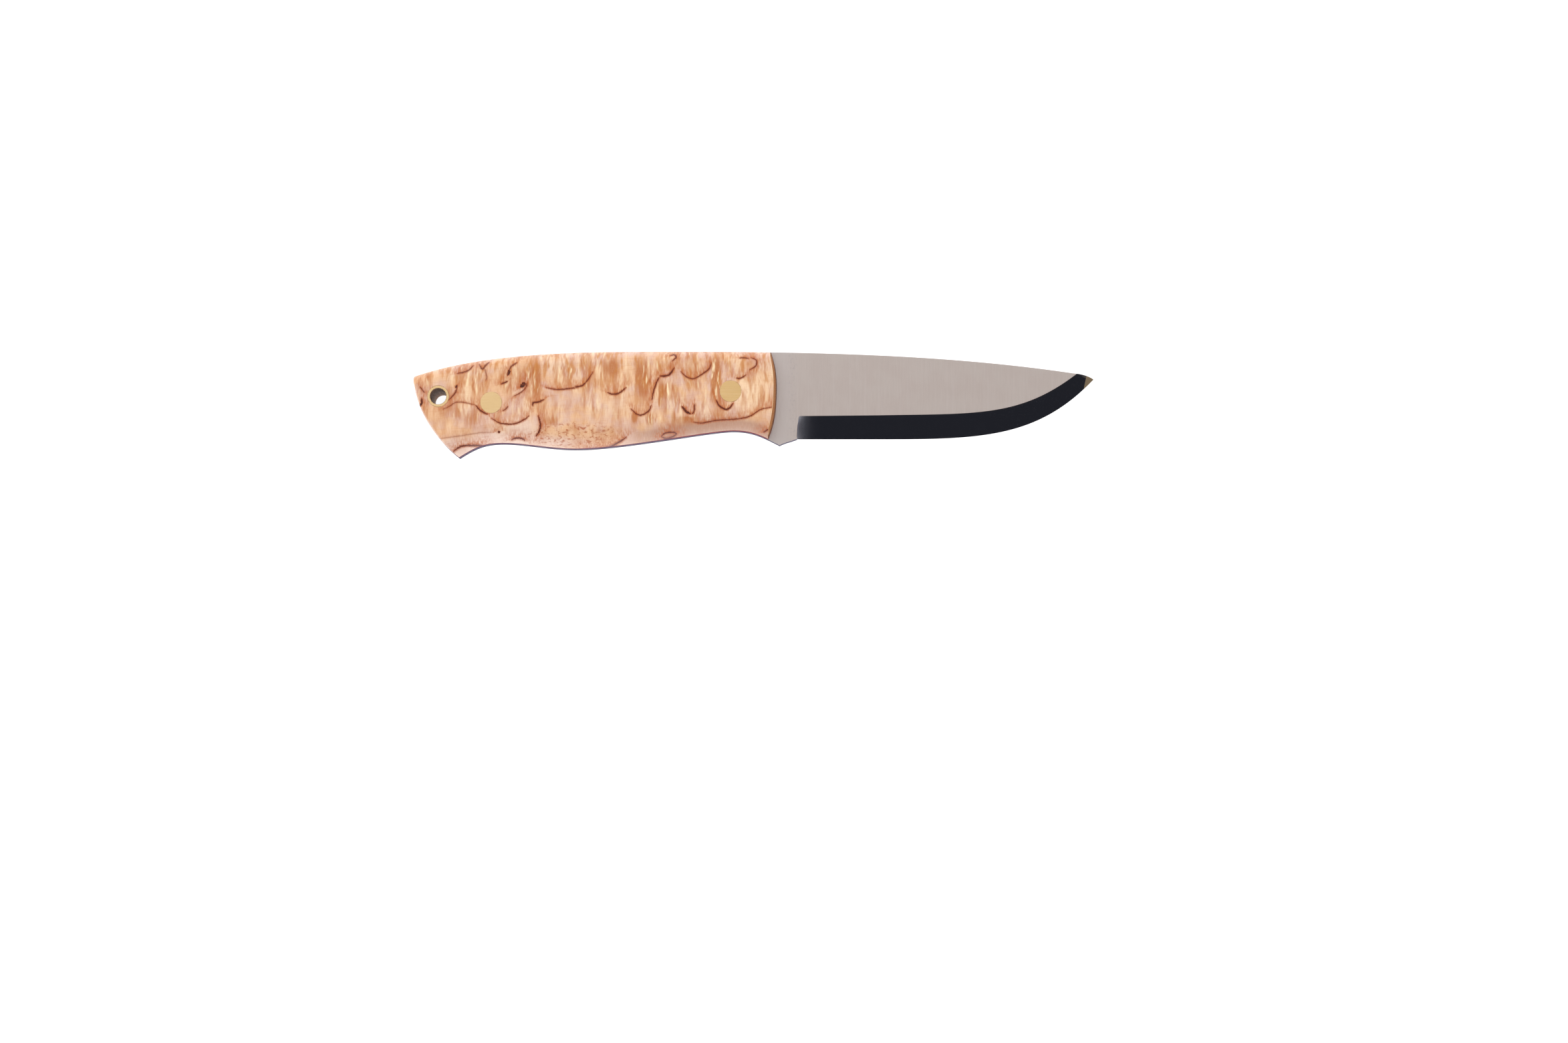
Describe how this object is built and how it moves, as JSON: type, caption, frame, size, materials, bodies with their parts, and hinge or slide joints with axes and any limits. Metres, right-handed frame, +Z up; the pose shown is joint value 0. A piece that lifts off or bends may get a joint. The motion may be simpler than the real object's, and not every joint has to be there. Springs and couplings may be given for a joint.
{
  "type": "whittling knife",
  "caption": "Fixed-blade whittling knife: a full-tang steel blade ground with one flat bevel a side, curly birch scales over red fibre liners, brass pins and a lanyard tube.",
  "frame": {"origin": "middle of the knife's box, on the surface that it lies on", "axes": "the knife lies on its left side: +X to the tip, +Y to the spine, +Z up out of its right side"},
  "size_m": [0.2018, 0.0318, 0.02],
  "materials": {
    "steel": "satin flats brushed across the blade, mirror-polished bevel",
    "fibre": "dark red vulcanised fibre, sanded flush",
    "birch": "curly birch with dark flecks, oiled and sanded smooth",
    "brass": "sanded flush, fine straight scratches"
  },
  "bodies": {
    "root": {"blade": "steel", "right_liner": "fibre", "left_liner": "fibre", "right_scale": "birch", "left_scale": "birch", "front_pin": "brass", "rear_pin": "brass", "lanyard_tube": "brass"}
  },
  "joints": []
}
